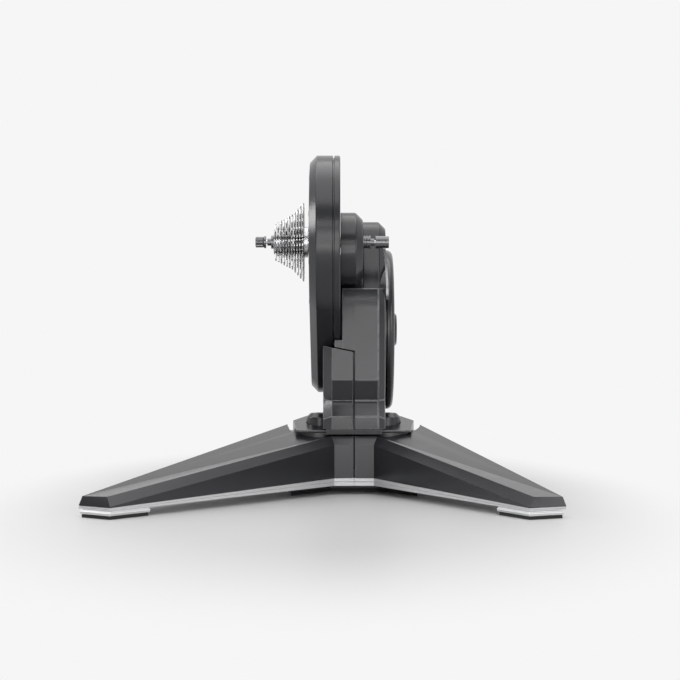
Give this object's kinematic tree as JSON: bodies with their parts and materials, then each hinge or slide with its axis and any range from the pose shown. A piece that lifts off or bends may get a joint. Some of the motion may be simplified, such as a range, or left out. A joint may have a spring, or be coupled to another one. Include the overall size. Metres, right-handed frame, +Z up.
{
  "type": "direct drive bike trainer",
  "caption": "Direct drive bicycle trainer: cassette on a belt cover disc, flywheel tower, quick release axle and two folding legs in a V.",
  "frame": {"origin": "bottom centre of the bounding box, on the floor", "axes": "+Z up, -Y towards the front of the bicycle, -X towards the bicycle's drive side (the cassette)"},
  "size_m": [0.572, 0.5428, 0.458],
  "materials": {
    "shell": "satin",
    "leg": "satin",
    "silver": "satin",
    "rubber": "matte",
    "casting": "matte",
    "steel": "satin",
    "dark_metal": "satin",
    "coil": "satin",
    "board": "matte",
    "inlet": "matte",
    "light": "gloss"
  },
  "bodies": {
    "frame": {"drive_side_shell": "shell", "flywheel_side_shell": "shell", "flywheel_cover": "shell", "bearing_cap": "shell", "hub_housing": "shell", "base_deck": "casting", "left_base_cover": "shell", "right_base_cover": "shell", "left_hinge_pin": "steel", "right_hinge_pin": "steel", "left_pin_cap": "shell", "right_pin_cap": "shell", "bottom_plate": "steel", "centre_foot": "rubber", "rear_foot": "casting", "rear_pad": "rubber", "fixed_axle": "steel", "drive_side_end_cap": "dark_metal", "non_drive_adapter": "dark_metal", "skewer_rod": "steel", "quick_release_head": "dark_metal", "freehub_bearing": "steel", "pulley_bearing": "steel", "drive_belt": "rubber", "tensioner_pin": "steel", "left_flywheel_bearing": "steel", "right_flywheel_bearing": "steel", "brake_stator": "coil", "circuit_board": "board", "power_inlet": "inlet", "status_light": "light"},
    "drive_pulley": {"large_pulley": "casting"},
    "cassette": {"freehub_body": "steel", "sprocket_11": "steel", "sprocket_12": "steel", "sprocket_13": "steel", "sprocket_14": "steel", "sprocket_15": "steel", "sprocket_16": "steel", "sprocket_17": "steel", "sprocket_19": "steel", "sprocket_21": "steel", "sprocket_23": "steel", "sprocket_25": "steel", "lockring": "steel"},
    "flywheel_rotor": {"flywheel": "casting", "flywheel_shaft": "steel", "small_pulley": "steel"},
    "tensioner": {"tensioner_arm": "steel"},
    "idler": {"idler_pulley": "steel"},
    "release_nut": {"quick_release_nut": "dark_metal"},
    "release_lever": {"quick_release_lever": "steel"},
    "left_leg": {"left_leg_shell": "leg", "left_leg_plate": "silver", "left_foot_holder": "silver", "left_foot_pad": "rubber"},
    "right_leg": {"right_leg_shell": "leg", "right_leg_plate": "silver", "right_foot_holder": "silver", "right_foot_pad": "rubber"}
  },
  "joints": [
    {"name": "left_leg_fold", "type": "hinge", "parent": "frame", "child": "left_leg", "pos_m": [-0.00687, 0.12441, 0.045], "axis": [0, 0, -1], "range_deg": [0, 128]},
    {"name": "right_leg_fold", "type": "hinge", "parent": "frame", "child": "right_leg", "pos_m": [0.08713, 0.12441, 0.045], "axis": [0, 0, 1], "range_deg": [0, 138]},
    {"name": "flywheel_spin", "type": "hinge", "parent": "frame", "child": "flywheel_rotor", "pos_m": [0.05513, 0.15741, 0.22301], "axis": [1, 0, 0], "continuous": true},
    {"name": "pulley_spin", "type": "hinge", "parent": "frame", "child": "drive_pulley", "pos_m": [-0.00487, 0.03941, 0.341], "axis": [1, 0, 0], "continuous": true},
    {"name": "cassette_freewheel", "type": "hinge", "parent": "drive_pulley", "child": "cassette", "pos_m": [-0.00487, 0.03941, 0.341], "axis": [1, 0, 0], "continuous": true},
    {"name": "tensioner_swing", "type": "hinge", "parent": "frame", "child": "tensioner", "pos_m": [0.0148, 0.1207, 0.20034], "axis": [1, 0, 0], "range_deg": [0, 5], "stiffness_Nm_per_rad": 2},
    {"name": "idler_spin", "type": "hinge", "parent": "tensioner", "child": "idler", "pos_m": [0, 0.07687, 0.21428], "axis": [1, 0, 0], "continuous": true},
    {"name": "release_nut_turn", "type": "hinge", "parent": "frame", "child": "release_nut", "pos_m": [-0.08587, 0.03941, 0.341], "axis": [1, 0, 0], "continuous": true},
    {"name": "release_lever_swing", "type": "hinge", "parent": "frame", "child": "release_lever", "pos_m": [0.08098, 0.03941, 0.341], "axis": [0, -1, 0], "range_deg": [0, 170]}
  ],
  "couplings": [
    {"joint": "pulley_spin", "follows": "flywheel_spin", "ratio": 0.17391},
    {"joint": "idler_spin", "follows": "flywheel_spin", "ratio": -1.2308}
  ]
}
